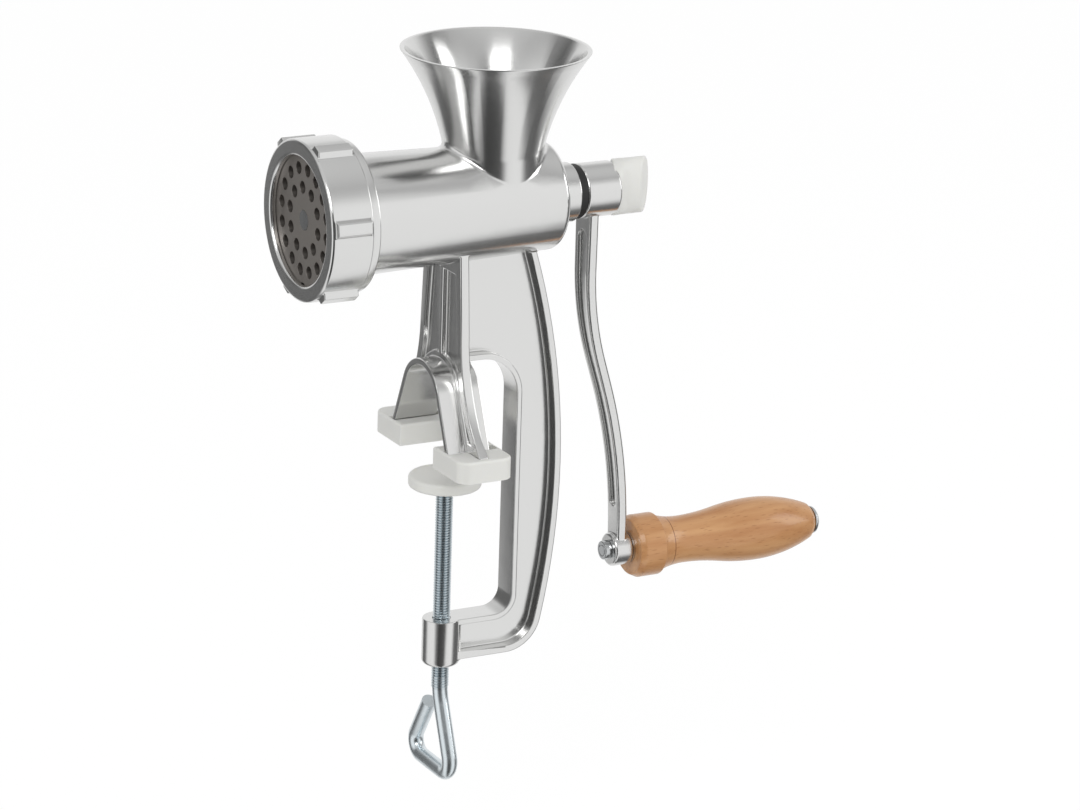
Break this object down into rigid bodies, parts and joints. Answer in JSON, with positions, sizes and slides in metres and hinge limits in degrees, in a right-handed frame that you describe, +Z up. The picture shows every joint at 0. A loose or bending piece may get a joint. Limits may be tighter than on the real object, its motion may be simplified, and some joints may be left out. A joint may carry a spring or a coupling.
{
  "type": "hand crank meat grinder",
  "caption": "Table-clamp meat grinder: polished cast body with hopper, locking ring over a perforated plate, S-shaped crank with wooden grip, and a screw clamp with a bent loop handle.",
  "frame": {"origin": "on the clamp screw's axis, level with the undersides of the two foot pads, where the table top lies", "axes": "+X along the barrel towards the crank, +Z up, +Y away from the picture's near side"},
  "size_m": [0.2734, 0.089, 0.3408],
  "materials": {
    "cast_aluminium": "polished casting",
    "plate_steel": "ground steel",
    "bright_steel": "bright turned steel",
    "zinc_steel": "bluish zinc plating",
    "white_plastic": "milky moulded plastic",
    "bush_plastic": "moulded plastic",
    "black_rubber": "smooth black rubber",
    "beech": "satin lacquered beech"
  },
  "bodies": {
    "frame": {"housing": "cast_aluminium", "foot_pad_near": "white_plastic", "foot_pad_far": "white_plastic", "plate_key": "bright_steel", "rear_bush": "bush_plastic", "shaft_seal": "black_rubber"},
    "crank": {"auger": "cast_aluminium", "knife_stud": "bright_steel", "knife": "plate_steel", "crank_arm": "cast_aluminium", "grip_bolt": "bright_steel", "grip_nut": "bright_steel", "grip_washer": "bright_steel"},
    "turning_grip": {"grip": "beech"},
    "plate": {"cutting_plate": "plate_steel"},
    "ring": {"locking_ring": "cast_aluminium"},
    "disc": {"pressure_disc": "white_plastic"},
    "screw": {"clamp_screw": "zinc_steel"},
    "wing_washer": {"thumb_washer": "bright_steel"},
    "wing": {"thumb_screw": "white_plastic", "thumb_stud": "bright_steel"}
  },
  "joints": [
    {"name": "crank_turn", "type": "hinge", "parent": "frame", "child": "crank", "pos_m": [0, 0, 0.1157], "axis": [1, 0, 0], "continuous": true},
    {"name": "grip_spin", "type": "hinge", "parent": "crank", "child": "turning_grip", "pos_m": [0.145, 0, -0.0579], "axis": [1, 0, 0], "continuous": true},
    {"name": "plate_draw", "type": "slide", "parent": "frame", "child": "plate", "axis": [-1, 0, 0], "range_m": [0, 0.0101]},
    {"name": "ring_unscrew", "type": "hinge", "parent": "plate", "child": "ring", "pos_m": [-0.065, 0, 0.1157], "axis": [-1, 0, 0], "range_deg": [0, 1440]},
    {"name": "disc_travel", "type": "slide", "parent": "frame", "child": "disc", "axis": [0, 0, 1], "range_m": [-0.0551, 0.0076]},
    {"name": "screw_turn", "type": "hinge", "parent": "disc", "child": "screw", "pos_m": [0, 0, -0.05], "axis": [0, 0, 1], "range_deg": [-15840, 2160]},
    {"name": "washer_travel", "type": "slide", "parent": "crank", "child": "wing_washer", "axis": [1, 0, 0], "range_m": [0, 0.0101]},
    {"name": "wing_unscrew", "type": "hinge", "parent": "wing_washer", "child": "wing", "pos_m": [0.088, 0, 0.1157], "axis": [1, 0, 0], "range_deg": [0, 3600]}
  ],
  "couplings": [
    {"joint": "plate_draw", "follows": "ring_unscrew", "m_per_rad": 0.00039789},
    {"joint": "disc_travel", "follows": "screw_turn", "m_per_rad": 0.00019894},
    {"joint": "washer_travel", "follows": "wing_unscrew", "m_per_rad": 0.00015915}
  ]
}
